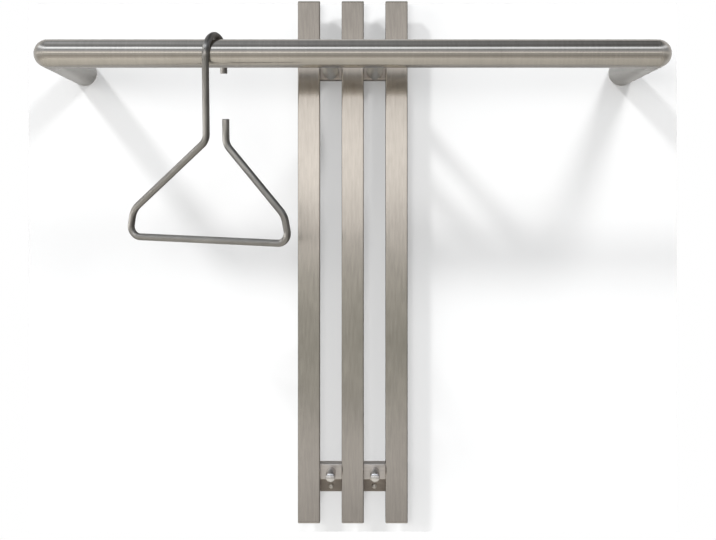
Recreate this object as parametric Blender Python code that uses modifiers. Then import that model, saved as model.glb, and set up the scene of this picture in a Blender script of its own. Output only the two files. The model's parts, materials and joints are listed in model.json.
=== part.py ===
"""Wall coat rack: three upright bars on two wall brackets, a round rail, two pegs and a bent-rod hanger.

Metres. +X runs to the right along the rail, +Y into the wall and +Z up.
The origin lies on the wall, at the height of the rail's axis.
"""

import math

import bmesh
import bpy
from mathutils import Matrix, Vector

# Rail and its two returns to the wall
RAIL_WIDTH = 0.900
RAIL_RADIUS = 0.020
RAIL_WALL = 0.002
RAIL_REACH = 0.240

# Upright bars, rectangular tube
BAR_WIDTH = 0.035
BAR_DEPTH = 0.015
BAR_WALL = 0.0015
BAR_CORNER = 0.0022
BAR_PITCH = 0.069
BAR_ABOVE_RAIL = 0.1095
BAR_BELOW_RAIL = 0.7125

# Cross bars behind the uprights
CROSS_HEIGHT = 0.025
CROSS_DEPTH = 0.020
CROSS_WALL = 0.0015
CROSS_CORNER = 0.0018
CROSS_INSET = 0.006
LOWER_CROSS_DROP = 0.634

# End caps in the bars and the cross bars
CAP_THICKNESS = 0.002
CAP_PLUG = 0.006

# Wall plates and their screws
PLATE_THICKNESS = 0.003
PLATE_LIP = 0.023
PLATE_CORNER = 0.0015
WALL_SCREW_RADIUS = 0.0022
WALL_SCREW_HEAD_RADIUS = 0.0042
WALL_SCREW_HEAD_HEIGHT = 0.0028
WALL_SCREW_EDGE = 0.0085
WALL_SCREW_SOCKET = 0.003

# Struts from the upper cross bar to the rail
STRUT_RADIUS = 0.0125
STRUT_BOLT_RADIUS = 0.004
STRUT_BOLT_HEAD_RADIUS = 0.0065
STRUT_BOLT_HEAD_HEIGHT = 0.008
STRUT_BOLT_GRIP = 0.020

# Pegs on the lower cross bar
PEG_RADIUS = 0.0075
PEG_LENGTH = 0.047
PEG_DOME = 0.004
PEG_BOLT_RADIUS = 0.003
PEG_BOLT_HEAD_RADIUS = 0.005
PEG_BOLT_HEAD_HEIGHT = 0.006
PEG_BOLT_GRIP = 0.014

# Spigots that hold the returns to the wall
SPIGOT_LENGTH = 0.024
SPIGOT_SCREW_RADIUS = 0.0025
SPIGOT_SCREW_HEAD_RADIUS = 0.005
GRUB_RADIUS = 0.0025
GRUB_SETBACK = 0.011
GRUB_GROOVE = 0.003

# Hanger, one bent rod
ROD_RADIUS = 0.005
HOOK_CLEARANCE = 0.0035
HOOK_TIP_DROP = 0.0247
NECK_BEND = 0.020
SHOULDER_BEND = 0.030
BASE_BEND = 0.0145
NECK_DROP = 0.1184
FREE_END_GAP = 0.0306
FREE_END_DROP = 0.0881
FREE_BEND_DROP = 0.1231
SHOULDER_HALF_WIDTH = 0.1185
SHOULDER_DROP = 0.2196
BASE_HALF_WIDTH = 0.1257
BASE_DROP = 0.2585
HANGER_POSITION = -0.195
HANGER_YAW = math.radians(20.5)
HANGER_LEAN = math.radians(6)

# Clearances between pieces that touch
SEAT_GAP = 0.0003
BOLT_CLEARANCE = 0.0003

# Points nearer than this are one point
WELD_DISTANCE = 1e-6

# Facets of round pieces
ROUND_STEPS = 64
SMALL_STEPS = 32
FASTENER_STEPS = 20
DOME_STEPS = 5
BALL_STEPS = 4
BALL_SPAN = math.radians(60)  # drawn past the mitre, which cuts a ball at 45 degrees
CORNER_STEPS = 4
BEND_STEP = math.radians(9)
ROD_BEVEL_RESOLUTION = 6
SMOOTH_ANGLE = math.radians(30)

# Places worked out from the sizes, as distances in front of the wall
CROSS_BACK = PLATE_THICKNESS + SEAT_GAP
CROSS_FRONT = CROSS_BACK + CROSS_DEPTH
BAR_BACK = CROSS_FRONT + SEAT_GAP
SEAT = CROSS_FRONT + SEAT_GAP
RETURN_X = RAIL_WIDTH / 2 - RAIL_RADIUS
CROSS_LENGTH = 2 * (BAR_PITCH + BAR_WIDTH / 2 - CROSS_INSET)
WALL_SCREW_OFFSET = CROSS_HEIGHT / 2 + PLATE_LIP - WALL_SCREW_EDGE
HOOK_BEND = RAIL_RADIUS + HOOK_CLEARANCE + ROD_RADIUS

# Tube sections: width, depth, corner radius and wall
BAR_SECTION = (BAR_WIDTH, BAR_DEPTH, BAR_CORNER, BAR_WALL)
CROSS_SECTION = (CROSS_DEPTH, CROSS_HEIGHT, CROSS_CORNER, CROSS_WALL)

SIDES = {"left": -1, "right": 1}
BARS = {"left": -1, "middle": 0, "right": 1}
# Each cross bar's height, and the way its wall plate's lip points
BRACKETS = {"upper": (0.0, 1), "lower": (-LOWER_CROSS_DROP, -1)}

# Local +Z of a piece turned to face out of the wall, along the rail, or along a cross bar
OUT_OF_WALL = Matrix.Rotation(math.pi / 2, 4, "X")
ALONG_RAIL = Matrix.Rotation(math.pi / 2, 4, "Y")
ALONG_CROSS = Matrix(((0, 0, 1, 0), (1, 0, 0, 0), (0, 1, 0, 0), (0, 0, 0, 1)))


def clear_scene():
    for obj in list(bpy.data.objects):
        bpy.data.objects.remove(obj, do_unlink=True)


def new_collection(name):
    collection = bpy.data.collections.new(name)
    bpy.context.scene.collection.children.link(collection)
    return collection


def steel(name, colour, roughness):
    material = bpy.data.materials.new(name)
    material.use_nodes = True
    shader = material.node_tree.nodes["Principled BSDF"]
    shader.inputs["Base Color"].default_value = (*colour, 1)
    shader.inputs["Roughness"].default_value = roughness
    shader.inputs["Metallic"].default_value = 1
    return material


def place(x, out, z, turn=None):
    """A piece's matrix: `out` is the distance in front of the wall."""
    return Matrix.Translation((x, -out, z)) @ (turn or Matrix())


def baked(obj):
    """The object's evaluated shape as a welded mesh of its own, shaded smooth between its sharp edges."""
    graph = bpy.context.evaluated_depsgraph_get()
    mesh = bpy.data.meshes.new_from_object(obj.evaluated_get(graph))
    bm = bmesh.new()
    bm.from_mesh(mesh)
    bmesh.ops.remove_doubles(bm, verts=bm.verts, dist=WELD_DISTANCE)
    bm.to_mesh(mesh)
    bm.free()
    mesh.shade_smooth()
    mesh.set_sharp_from_angle(angle=SMOOTH_ANGLE)
    bpy.data.objects.remove(obj, do_unlink=True)
    return mesh


def part(name, mesh, matrix, material):
    mesh.name = name
    mesh.materials.clear()
    mesh.materials.append(material)
    obj = bpy.data.objects.new(name, mesh)
    obj.matrix_world = matrix
    parts.objects.link(obj)
    return obj


def cutter(name, mesh, matrix):
    obj = bpy.data.objects.new(name, mesh)
    obj.matrix_world = matrix
    obj.hide_render = True
    obj.display_type = "WIRE"
    cutters.objects.link(obj)
    return obj


def cut(obj, tool):
    modifier = obj.modifiers.new("Cut " + tool.name, "BOOLEAN")
    modifier.operation = "DIFFERENCE"
    modifier.object = tool


def turned(outline, steps):
    """A mesh turned about Z. The outline is (radius, height) pairs, down the outer side from the top.

    An outline that starts and ends off the axis is a ring, and is closed on itself.
    """
    count = len(outline)
    edges = [(i, i + 1) for i in range(count - 1)]
    if outline[0][0] > 0:
        edges.append((count - 1, 0))
    mesh = bpy.data.meshes.new("profile")
    mesh.from_pydata([(radius, 0, height) for radius, height in outline], edges, [])
    obj = bpy.data.objects.new("profile", mesh)
    parts.objects.link(obj)
    screw = obj.modifiers.new("Turn", "SCREW")
    screw.axis = "Z"
    screw.angle = 2 * math.pi
    screw.steps = steps
    screw.render_steps = steps
    screw.use_merge_vertices = True
    screw.merge_threshold = WELD_DISTANCE
    return baked(obj)


def rounded_rectangle(width, depth, radius):
    points = []
    for quarter, (sx, sy) in enumerate(((1, 1), (-1, 1), (-1, -1), (1, -1))):
        centre = Vector((sx * (width / 2 - radius), sy * (depth / 2 - radius)))
        for step in range(CORNER_STEPS + 1):
            angle = (quarter + step / CORNER_STEPS) * math.pi / 2
            points.append(centre + radius * Vector((math.cos(angle), math.sin(angle))))
    return points


def circle(centre, radius):
    angles = [2 * math.pi * step / FASTENER_STEPS for step in range(FASTENER_STEPS)]
    return [Vector(centre) + radius * Vector((math.cos(a), math.sin(a))) for a in angles]


def extruded(outlines, length):
    """A flat outline, with any holes, extruded along Z, half each way."""
    curve = bpy.data.curves.new("outline", "CURVE")
    curve.dimensions = "2D"
    curve.fill_mode = "BOTH"
    curve.extrude = length / 2
    for outline in outlines:
        spline = curve.splines.new("POLY")
        spline.points.add(len(outline) - 1)
        for point, at in zip(spline.points, outline):
            point.co = (at.x, at.y, 0, 1)
        spline.use_cyclic_u = True
    obj = bpy.data.objects.new("outline", curve)
    parts.objects.link(obj)
    return baked(obj)


def tube_inside(width, depth, corner, wall, gap=0.0):
    """The outline of a rectangular tube's bore, or of a plug that goes into it with a gap all round."""
    thick = 2 * (wall + gap)
    return rounded_rectangle(width - thick, depth - thick, max(corner - wall, wall / 4))


def rectangular_tube(section, length):
    width, depth, corner, _ = section
    return extruded([rounded_rectangle(width, depth, corner), tube_inside(*section)], length)


def end_cap(section):
    """A cap with its outer face at local z = 0, and a plug that goes down into the tube."""
    width, depth, corner, _ = section
    lid = rounded_rectangle(width, depth, corner)
    plug = tube_inside(*section, SEAT_GAP)
    shoulder = -CAP_THICKNESS
    levels = ((lid, 0), (lid, shoulder), (plug, shoulder), (plug, shoulder - CAP_PLUG))
    bm = bmesh.new()
    rings = [[bm.verts.new((at.x, at.y, z)) for at in outline] for outline, z in levels]
    for above, below in zip(rings, rings[1:]):
        for i in range(len(above)):
            bm.faces.new((above[i], above[i - 1], below[i - 1], below[i]))
    bm.faces.new(rings[0])
    bm.faces.new(reversed(rings[-1]))
    mesh = bpy.data.meshes.new("cap")
    bm.to_mesh(mesh)
    bm.free()
    return mesh


def cube_mesh(size):
    mesh = bpy.data.meshes.new("block")
    bm = bmesh.new()
    bmesh.ops.create_cube(bm, size=size)
    bm.to_mesh(mesh)
    bm.free()
    return mesh


def hexagon_mesh(across_flats, depth):
    mesh = bpy.data.meshes.new("hexagon")
    bm = bmesh.new()
    radius = across_flats / math.sqrt(3)
    bmesh.ops.create_cone(bm, cap_ends=True, segments=6, radius1=radius, radius2=radius, depth=depth)
    bm.to_mesh(mesh)
    bm.free()
    return mesh


def rod_outline(radius, low, high):
    return [(0, high), (radius, high), (radius, low), (0, low)]


def ball_edge(radius, base, way):
    """A ball's edge at the end of a tube, from the tube's side to past the mitre; `way` is 1 up, -1 down."""
    angles = [BALL_SPAN * step / BALL_STEPS for step in range(BALL_STEPS + 1)]
    return [(radius * math.cos(a), base + way * radius * math.sin(a)) for a in angles]


def dome_outline(radius, rise, top):
    """Points of a dome's edge, from its crown on the axis down to its full radius."""
    angles = [math.pi / 2 * step / DOME_STEPS for step in range(DOME_STEPS + 1)]
    return [(radius * math.sin(a), top - rise * (1 - math.cos(a))) for a in angles]


def mitre_block(name, corner, away):
    """A block whose face lies on the mitre plane through a rail corner; `away` points into what it removes."""
    size = 8 * RAIL_RADIUS
    centre = corner + away * (size - SEAT_GAP) / 2
    matrix = Matrix.Translation(centre) @ Matrix.Rotation(math.atan2(away.y, away.x), 4, "Z")
    return cutter(name, cube_mesh(size), matrix)


def rail_outline():
    """The rail's tube wall: both its ends are balls, which the mitres cut in half."""
    bore = RAIL_RADIUS - RAIL_WALL
    outside = ball_edge(RAIL_RADIUS, RETURN_X, 1)[::-1] + ball_edge(RAIL_RADIUS, -RETURN_X, -1)
    inside = ball_edge(bore, -RETURN_X, -1)[::-1] + ball_edge(bore, RETURN_X, 1)
    return outside + inside


def return_outline():
    """A return's tube wall: square on the wall, with the other half of the rail's ball at its front end."""
    bore = RAIL_RADIUS - RAIL_WALL
    outside = ball_edge(RAIL_RADIUS, RAIL_REACH, 1)[::-1]
    return outside + [(RAIL_RADIUS, 0), (bore, 0)] + ball_edge(bore, RAIL_REACH, 1)


def make_rail():
    rail = part("rail_tube", turned(rail_outline(), ROUND_STEPS), place(0, RAIL_REACH, 0, ALONG_RAIL), brushed)
    for side, sign in SIDES.items():
        corner = Vector((sign * RETURN_X, -RAIL_REACH, 0))
        outward = Vector((sign, 1, 0)).normalized()
        cut(rail, mitre_block(side + "_rail_mitre", corner, outward))
        tube = turned(return_outline(), ROUND_STEPS)
        name = side + "_return_tube"
        back = part(name, tube, place(sign * RETURN_X, 0, 0, OUT_OF_WALL), brushed)
        cut(back, mitre_block(side + "_return_mitre", corner, -outward))
        make_spigot(side, sign * RETURN_X, back)


def make_spigot(side, x, back):
    """The plug on the wall inside a return, its screw, and the grub screw that locks the return to it."""
    radius = RAIL_RADIUS - RAIL_WALL - SEAT_GAP
    groove = radius - GRUB_GROOVE
    groove_half = GRUB_RADIUS + 2 * BOLT_CLEARANCE
    hole = SPIGOT_SCREW_RADIUS + BOLT_CLEARANCE
    sink = SPIGOT_SCREW_HEAD_RADIUS + 2 * BOLT_CLEARANCE
    outline = [
        (radius, SPIGOT_LENGTH),
        (radius, GRUB_SETBACK + groove_half),
        (groove, GRUB_SETBACK + groove_half),
        (groove, GRUB_SETBACK - groove_half),
        (radius, GRUB_SETBACK - groove_half),
        (radius, 0),
        (hole, 0),
        (hole, SPIGOT_LENGTH - (sink - hole)),
        (sink, SPIGOT_LENGTH),
    ]
    part(side + "_wall_spigot", turned(outline, SMALL_STEPS), place(x, 0, 0, OUT_OF_WALL), fastener)
    head = SPIGOT_SCREW_HEAD_RADIUS
    cone = head - SPIGOT_SCREW_RADIUS
    outline = [
        (0, SPIGOT_LENGTH),
        (head, SPIGOT_LENGTH),
        (SPIGOT_SCREW_RADIUS, SPIGOT_LENGTH - cone),
        (SPIGOT_SCREW_RADIUS, SEAT_GAP),
        (0, SEAT_GAP),
    ]
    part(side + "_spigot_screw", turned(outline, FASTENER_STEPS), place(x, 0, 0, OUT_OF_WALL), fastener)
    grub = turned(rod_outline(GRUB_RADIUS, groove + SEAT_GAP, RAIL_RADIUS), FASTENER_STEPS)
    part(side + "_grub_screw", grub, place(x, GRUB_SETBACK, 0), fastener)
    drill = turned(rod_outline(GRUB_RADIUS + BOLT_CLEARANCE, 0, 2 * RAIL_RADIUS), FASTENER_STEPS)
    cut(back, cutter(side + "_grub_hole", drill, place(x, GRUB_SETBACK, 0)))


def make_bars():
    middle_out = BAR_BACK + BAR_DEPTH / 2
    top = BAR_ABOVE_RAIL
    bottom = -BAR_BELOW_RAIL
    length = top - bottom - 2 * (CAP_THICKNESS + SEAT_GAP)
    for side, step in BARS.items():
        x = step * BAR_PITCH
        tube = rectangular_tube(BAR_SECTION, length)
        part(side + "_bar", tube, place(x, middle_out, (top + bottom) / 2), brushed)
        for end, z, turn in (("top", top, Matrix()), ("bottom", bottom, Matrix.Rotation(math.pi, 4, "X"))):
            cap = end_cap(BAR_SECTION)
            part(f"{side}_bar_{end}_cap", cap, place(x, middle_out, z, turn), brushed)


def make_bracket(level, height, lip):
    """A cross bar with its end caps, and the wall plate behind it with its two screws."""
    middle_out = CROSS_BACK + CROSS_DEPTH / 2
    length = CROSS_LENGTH - 2 * (CAP_THICKNESS + SEAT_GAP)
    tube = rectangular_tube(CROSS_SECTION, length)
    cross = part(level + "_cross_bar", tube, place(0, middle_out, height, ALONG_CROSS), brushed)
    for side, sign in SIDES.items():
        cap = end_cap(CROSS_SECTION)
        turn = ALONG_CROSS if sign > 0 else Matrix.Rotation(math.pi, 4, "Z") @ ALONG_CROSS
        name = f"{level}_cross_bar_{side}_cap"
        part(name, cap, place(sign * CROSS_LENGTH / 2, middle_out, height, turn), brushed)
    make_plate(level, height, lip)
    return cross


def make_plate(level, height, lip):
    outline = rounded_rectangle(CROSS_LENGTH, CROSS_HEIGHT + PLATE_LIP, PLATE_CORNER)
    screw_up = lip * (WALL_SCREW_OFFSET - PLATE_LIP / 2)
    radius = WALL_SCREW_RADIUS + BOLT_CLEARANCE
    holes = [circle((sign * BAR_PITCH / 2, screw_up), radius) for sign in SIDES.values()]
    plate = extruded([outline, *holes], PLATE_THICKNESS)
    centre = height + lip * PLATE_LIP / 2
    part(level + "_wall_plate", plate, place(0, PLATE_THICKNESS / 2, centre, OUT_OF_WALL), brushed)
    head_low = PLATE_THICKNESS + SEAT_GAP
    head_top = head_low + WALL_SCREW_HEAD_HEIGHT
    outline = dome_outline(WALL_SCREW_HEAD_RADIUS, WALL_SCREW_HEAD_HEIGHT, head_top)
    outline += [(WALL_SCREW_RADIUS, head_low), (WALL_SCREW_RADIUS, SEAT_GAP), (0, SEAT_GAP)]
    for side, sign in SIDES.items():
        at = place(sign * BAR_PITCH / 2, 0, height + lip * WALL_SCREW_OFFSET, OUT_OF_WALL)
        screw = part(f"{level}_{side}_wall_screw", turned(outline, FASTENER_STEPS), at, fastener)
        socket = hexagon_mesh(WALL_SCREW_SOCKET, WALL_SCREW_HEAD_HEIGHT)
        lift = Matrix.Translation((0, 0, head_top))
        cut(screw, cutter(f"{level}_{side}_screw_socket", socket, at @ lift))


def bolt_hole(name, x, z, bolt_radius, head_radius):
    """The stepped hole of a bolt that is passed in through the back of a cross bar."""
    narrow = bolt_radius + BOLT_CLEARANCE
    wide = head_radius + BOLT_CLEARANCE
    step = CROSS_FRONT - 2 * CROSS_WALL
    outline = [(0, CROSS_FRONT + CROSS_WALL), (narrow, CROSS_FRONT + CROSS_WALL), (narrow, step)]
    outline += [(wide, step), (wide, 0), (0, 0)]
    return cutter(name, turned(outline, FASTENER_STEPS), place(x, 0, z, OUT_OF_WALL))


def bolt(name, x, z, radius, head_radius, head_height, grip):
    """A bolt with its head against the inside of a cross bar's front wall."""
    under_head = CROSS_FRONT - CROSS_WALL - SEAT_GAP
    outline = [(0, SEAT + grip), (radius, SEAT + grip), (radius, under_head), (head_radius, under_head)]
    outline += [(head_radius, under_head - head_height), (0, under_head - head_height)]
    part(name, turned(outline, FASTENER_STEPS), place(x, 0, z, OUT_OF_WALL), fastener)


def tapped_back(radius, bolt_radius, grip):
    """The lower end of a peg's or a strut's outline: its seat on the cross bar and the hole for its bolt."""
    hole = bolt_radius + BOLT_CLEARANCE
    depth = SEAT + grip + SEAT_GAP
    return [(radius, SEAT), (hole, SEAT), (hole, depth), (0, depth)]


def make_struts(cross):
    for side, sign in SIDES.items():
        x = sign * BAR_PITCH / 2
        outline = [(0, RAIL_REACH), (STRUT_RADIUS, RAIL_REACH)]
        outline += tapped_back(STRUT_RADIUS, STRUT_BOLT_RADIUS, STRUT_BOLT_GRIP)
        mesh = turned(outline, SMALL_STEPS)
        strut = part(side + "_rail_strut", mesh, place(x, 0, 0, OUT_OF_WALL), brushed)
        half = 2 * STRUT_RADIUS
        cope = turned(rod_outline(RAIL_RADIUS + SEAT_GAP, -half, half), ROUND_STEPS)
        cut(strut, cutter(side + "_strut_cope", cope, place(x, RAIL_REACH, 0, ALONG_RAIL)))
        name = side + "_strut_bolt_hole"
        cut(cross, bolt_hole(name, x, 0, STRUT_BOLT_RADIUS, STRUT_BOLT_HEAD_RADIUS))
        head = (STRUT_BOLT_HEAD_RADIUS, STRUT_BOLT_HEAD_HEIGHT)
        bolt(side + "_strut_bolt", x, 0, STRUT_BOLT_RADIUS, *head, STRUT_BOLT_GRIP)


def make_pegs(cross, height):
    for side, sign in SIDES.items():
        x = sign * BAR_PITCH / 2
        outline = dome_outline(PEG_RADIUS, PEG_DOME, SEAT + PEG_LENGTH)
        outline += tapped_back(PEG_RADIUS, PEG_BOLT_RADIUS, PEG_BOLT_GRIP)
        mesh = turned(outline, SMALL_STEPS)
        part(side + "_coat_peg", mesh, place(x, 0, height, OUT_OF_WALL), polished)
        name = side + "_peg_bolt_hole"
        cut(cross, bolt_hole(name, x, height, PEG_BOLT_RADIUS, PEG_BOLT_HEAD_RADIUS))
        head = (PEG_BOLT_HEAD_RADIUS, PEG_BOLT_HEAD_HEIGHT)
        bolt(side + "_peg_bolt", x, height, PEG_BOLT_RADIUS, *head, PEG_BOLT_GRIP)


def bent_path(corners):
    """Points along a rod that runs from corner to corner, with an arc of the given radius at each."""
    path = [corners[0][0]]
    for (before, _), (corner, radius), (after, _) in zip(corners, corners[1:], corners[2:]):
        back = (before - corner).normalized()
        on = (after - corner).normalized()
        inside = back.angle(on)
        turn = math.pi - inside
        centre = corner + (back + on).normalized() * radius / math.sin(inside / 2)
        start = corner + back * radius / math.tan(inside / 2) - centre
        axis = back.cross(on)
        steps = math.ceil(turn / BEND_STEP)
        for step in range(steps + 1):
            at = centre + Matrix.Rotation(-turn * step / steps, 3, axis) @ start
            if (at - path[-1]).length > WELD_DISTANCE:
                path.append(at)
    return path + [corners[-1][0]]


def hanger_corners():
    """The rod's corners from the hook's tip to the free end, about the centre of the hook's bend."""
    front = -HOOK_BEND
    return [
        (Vector((0, HOOK_BEND, -HOOK_TIP_DROP)), 0),
        (Vector((0, HOOK_BEND, HOOK_BEND)), HOOK_BEND),
        (Vector((0, front, HOOK_BEND)), HOOK_BEND),
        (Vector((0, front, -NECK_DROP)), NECK_BEND),
        (Vector((-SHOULDER_HALF_WIDTH, front, -SHOULDER_DROP)), SHOULDER_BEND),
        (Vector((-BASE_HALF_WIDTH, front, -BASE_DROP)), BASE_BEND),
        (Vector((BASE_HALF_WIDTH, front, -BASE_DROP)), BASE_BEND),
        (Vector((SHOULDER_HALF_WIDTH, front, -SHOULDER_DROP)), SHOULDER_BEND),
        (Vector((FREE_END_GAP, front, -FREE_BEND_DROP)), NECK_BEND),
        (Vector((FREE_END_GAP, front, -FREE_END_DROP)), 0),
    ]


def make_hanger():
    path = bent_path(hanger_corners())
    curve = bpy.data.curves.new("coat_hanger", "CURVE")
    curve.dimensions = "3D"
    curve.bevel_depth = ROD_RADIUS
    curve.bevel_resolution = ROD_BEVEL_RESOLUTION
    curve.use_fill_caps = True
    curve.materials.append(rod)
    spline = curve.splines.new("POLY")
    spline.points.add(len(path) - 1)
    for point, at in zip(spline.points, path):
        point.co = (*at, 1)
    # The hanger is turned a little on the rail, and its foot leans towards the wall as it hangs
    turn = Matrix.Rotation(HANGER_LEAN, 4, "X") @ Matrix.Rotation(-HANGER_YAW, 4, "Z")
    rest = HOOK_CLEARANCE - SEAT_GAP
    slide = bpy.data.objects.new("hanger_slide", None)
    slide.matrix_world = place(HANGER_POSITION, RAIL_REACH, 0)
    parts.objects.link(slide)
    hanger = bpy.data.objects.new("coat_hanger", curve)
    parts.objects.link(hanger)
    hanger.parent = slide
    hanger.matrix_local = Matrix.Translation((0, 0, -rest)) @ turn


clear_scene()
parts = new_collection("wall_coat_rack")
cutters = new_collection("cutters")
brushed = steel("brushed steel", (0.52, 0.50, 0.47), 0.34)
polished = steel("polished steel", (0.66, 0.65, 0.63), 0.16)
rod = steel("satin rod", (0.50, 0.48, 0.45), 0.38)
fastener = steel("fastener steel", (0.58, 0.57, 0.55), 0.30)

make_rail()
make_bars()
cross_bars = {level: make_bracket(level, *row) for level, row in BRACKETS.items()}
make_struts(cross_bars["upper"])
make_pegs(cross_bars["lower"], -LOWER_CROSS_DROP)
make_hanger()
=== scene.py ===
# Wall coat rack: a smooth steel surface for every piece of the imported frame, in metres
import json
import math

import bmesh
import bpy
import numpy as np
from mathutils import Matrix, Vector


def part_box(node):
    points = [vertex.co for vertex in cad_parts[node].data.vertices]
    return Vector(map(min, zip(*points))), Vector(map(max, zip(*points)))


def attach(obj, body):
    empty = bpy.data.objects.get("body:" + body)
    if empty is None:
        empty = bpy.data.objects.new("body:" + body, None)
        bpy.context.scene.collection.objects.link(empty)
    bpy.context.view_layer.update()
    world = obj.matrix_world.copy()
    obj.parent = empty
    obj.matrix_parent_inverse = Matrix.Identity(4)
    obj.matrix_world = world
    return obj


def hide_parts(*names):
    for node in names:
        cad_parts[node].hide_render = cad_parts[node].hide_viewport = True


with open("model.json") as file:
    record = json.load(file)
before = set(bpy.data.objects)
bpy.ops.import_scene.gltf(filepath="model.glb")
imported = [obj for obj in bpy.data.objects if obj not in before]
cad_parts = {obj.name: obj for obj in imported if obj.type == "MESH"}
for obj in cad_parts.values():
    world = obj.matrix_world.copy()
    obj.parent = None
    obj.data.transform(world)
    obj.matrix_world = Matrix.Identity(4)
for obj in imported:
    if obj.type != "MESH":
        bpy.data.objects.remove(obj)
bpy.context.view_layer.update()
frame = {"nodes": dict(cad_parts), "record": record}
slotOf = {row["node"]: row["material_slot"] for row in frame["record"]["subparts"]}
print("frame loaded:", len(frame["nodes"]), "nodes")

# directions of a piece's own x, y and z
upright = np.eye(3)
outOfWall = np.array([[1, 0, 0], [0, 0, 1], [0, -1, 0]])
downward = np.array([[1, 0, 0], [0, -1, 0], [0, 0, -1]])
alongRail = np.array([[0, 1, 0], [0, 0, 1], [1, 0, 0]])
againstRail = np.array([[0, -1, 0], [0, 0, 1], [-1, 0, 0]])
sides = {"left": -1, "right": 1}

# points on rounded edges and circles, and which points merge and which edges stay sharp
fine = {
    "cornerSteps": 6, "edgeSteps": 3, "edgeHold": 0.00008, "leastRadius": 0.00015,
    "edgeRun": 3,  # a tube's end edge and the flat row that holds it, in edges
    "smallColumns": 48, "mergeGap": 1e-7, "sharpAngle": math.radians(28),
}


def middleOf(node):
    low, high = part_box(node)
    return np.array((low + high) / 2)


def sizeOf(node):
    low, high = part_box(node)
    return np.array(high - low)


# a node's middle, taken back to the wall
def wallPointOf(node):
    middle = middleOf(node)
    middle[1] = 0
    return middle


# how far out of the wall a node starts and ends
def distancesOut(node):
    low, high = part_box(node)
    return -high[1], -low[1]


def unit(vector):
    return vector / np.linalg.norm(vector)


# equal steps of angle round a circle
def anglesRound(columns):
    return np.arange(columns) * 2 * math.pi / columns


# A path from corner to corner, in 2 or 3 dimensions. Each arc's centre lies on the corner's
# bisector, radius / sin(half the inside angle) away, and its points turn evenly from leg to leg.
# A point held close to each arc keeps the straight runs straight in the shading.
def filletPath(corners, radii, arcSteps=fine["edgeSteps"], hold=fine["edgeHold"], closed=False):
    corners = np.asarray(corners, float)
    count = len(corners)
    points, tangents = [], []
    for i in range(count):
        here, before, after = corners[i], corners[i - 1], corners[(i + 1) % count]
        inner = closed or 0 < i < count - 1
        if not inner or radii[i] == 0:
            way = after - here if i < count - 1 or closed else here - before
            points.append(here[None])
            tangents.append(unit(way)[None])
            continue
        back, onward = unit(before - here), unit(after - here)
        inside = math.acos(np.clip(back @ onward, -1, 1))
        centre = here + unit(back + onward) * radii[i] / math.sin(inside / 2)
        start = here + back * radii[i] / math.tan(inside / 2)
        turn = np.linspace(0, math.pi - inside, arcSteps + 1)[:, None]
        arc = centre + radii[i] * (np.cos(turn) * unit(start - centre) - np.sin(turn) * back)
        points += [arc[:1] + back * hold, arc, arc[-1:] + onward * hold]
        tangent = -np.sin(turn) * unit(start - centre) - np.cos(turn) * back
        tangents += [tangent[:1], tangent, tangent[-1:]]
    return np.concatenate(points), np.concatenate(tangents)


# A turned shape: each (radius, height) of the outline becomes a circle about z
def turned(outline, columns):
    outline = np.asarray(outline, float)
    angle = anglesRound(columns)
    x = outline[:, :1] * np.cos(angle)
    y = outline[:, :1] * np.sin(angle)
    return np.stack([x, y, np.repeat(outline[:, 1:], columns, axis=1)], axis=-1)


# A plain round bar about z, for cutting a hole
def roundCutter(radius, low, high):
    return turned([(0, high), (radius, high), (radius, low), (0, low)], fine["smallColumns"])


# A rounded rectangle drawn in by an inset, at each of the outline's heights.
# An inset of infinity is the middle point.
def stackedRectangles(width, depth, corner, outline):
    signs = np.array([[1, 1], [-1, 1], [-1, -1], [1, -1]])
    pointsRound = 4 * (fine["cornerSteps"] + 3)  # each corner's arc and the two points that hold it
    rings = []
    for inset, height in outline:
        if np.isinf(inset):
            flat = np.zeros((pointsRound, 2))
        else:
            corners = signs * [width / 2 - inset, depth / 2 - inset]
            radius = max(corner - inset, fine["leastRadius"])
            flat, _ = filletPath(corners, [radius] * 4, fine["cornerSteps"], closed=True)
        rings.append(np.column_stack([flat, np.full(len(flat), height)]))
    return np.array(rings)


# Turns rings from a piece's own x, y and z into the frame's, and moves them to the origin given
def placed(rings, origin, turn):
    return np.asarray(origin, float) + rings @ turn


# the four corners of each cell of a grid
def cellCorners(grid):
    return np.stack([grid[:-1, :-1], grid[1:, :-1], grid[1:, 1:], grid[:-1, 1:]], axis=2)


# The rings are joined by quads, and with loop the last ring to the first. A ring of no size is
# a pole. The map "grain" has u across the scratches and v along them, in metres.
def ringMesh(name, rings, loop, grain):
    rows, columns = rings.shape[:2]
    index = np.arange(rows * columns).reshape(rows, columns)
    if loop:
        index = np.vstack([index, index[:1]])
    index = np.hstack([index, index[:, :1]])
    quads = cellCorners(index).reshape(-1, 4)
    points = rings.reshape(-1, 3)

    rowStep = np.linalg.norm(np.roll(rings, -1, axis=0) - rings, axis=-1).mean(axis=1)
    columnStep = np.linalg.norm(np.roll(rings, -1, axis=1) - rings, axis=-1).max(axis=0)
    rowAt = np.concatenate([[0], np.cumsum(rowStep)])[:len(index)]
    columnAt = np.concatenate([[0], np.cumsum(columnStep)])
    along, around = np.meshgrid(rowAt, columnAt, indexing="ij")
    pair = (along, around) if grain == "around" else (around, along)
    uv = cellCorners(np.stack(pair, axis=-1)).reshape(-1, 4, 2)

    # six times the volume inside: where it is negative, the faces are turned round
    a, b, c, d = np.moveaxis((points - points.mean(axis=0))[quads], 1, 0)
    volume = np.sum(a * np.cross(b, c)) + np.sum(a * np.cross(c, d))
    if volume < 0:
        quads, uv = quads[:, ::-1], uv[:, ::-1]

    mesh = bpy.data.meshes.new(name)
    mesh.from_pydata(points.tolist(), [], quads.tolist())
    mesh.uv_layers.new(name="grain").data.foreach_set("uv", uv.astype(np.float32).ravel())
    return mesh


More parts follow.
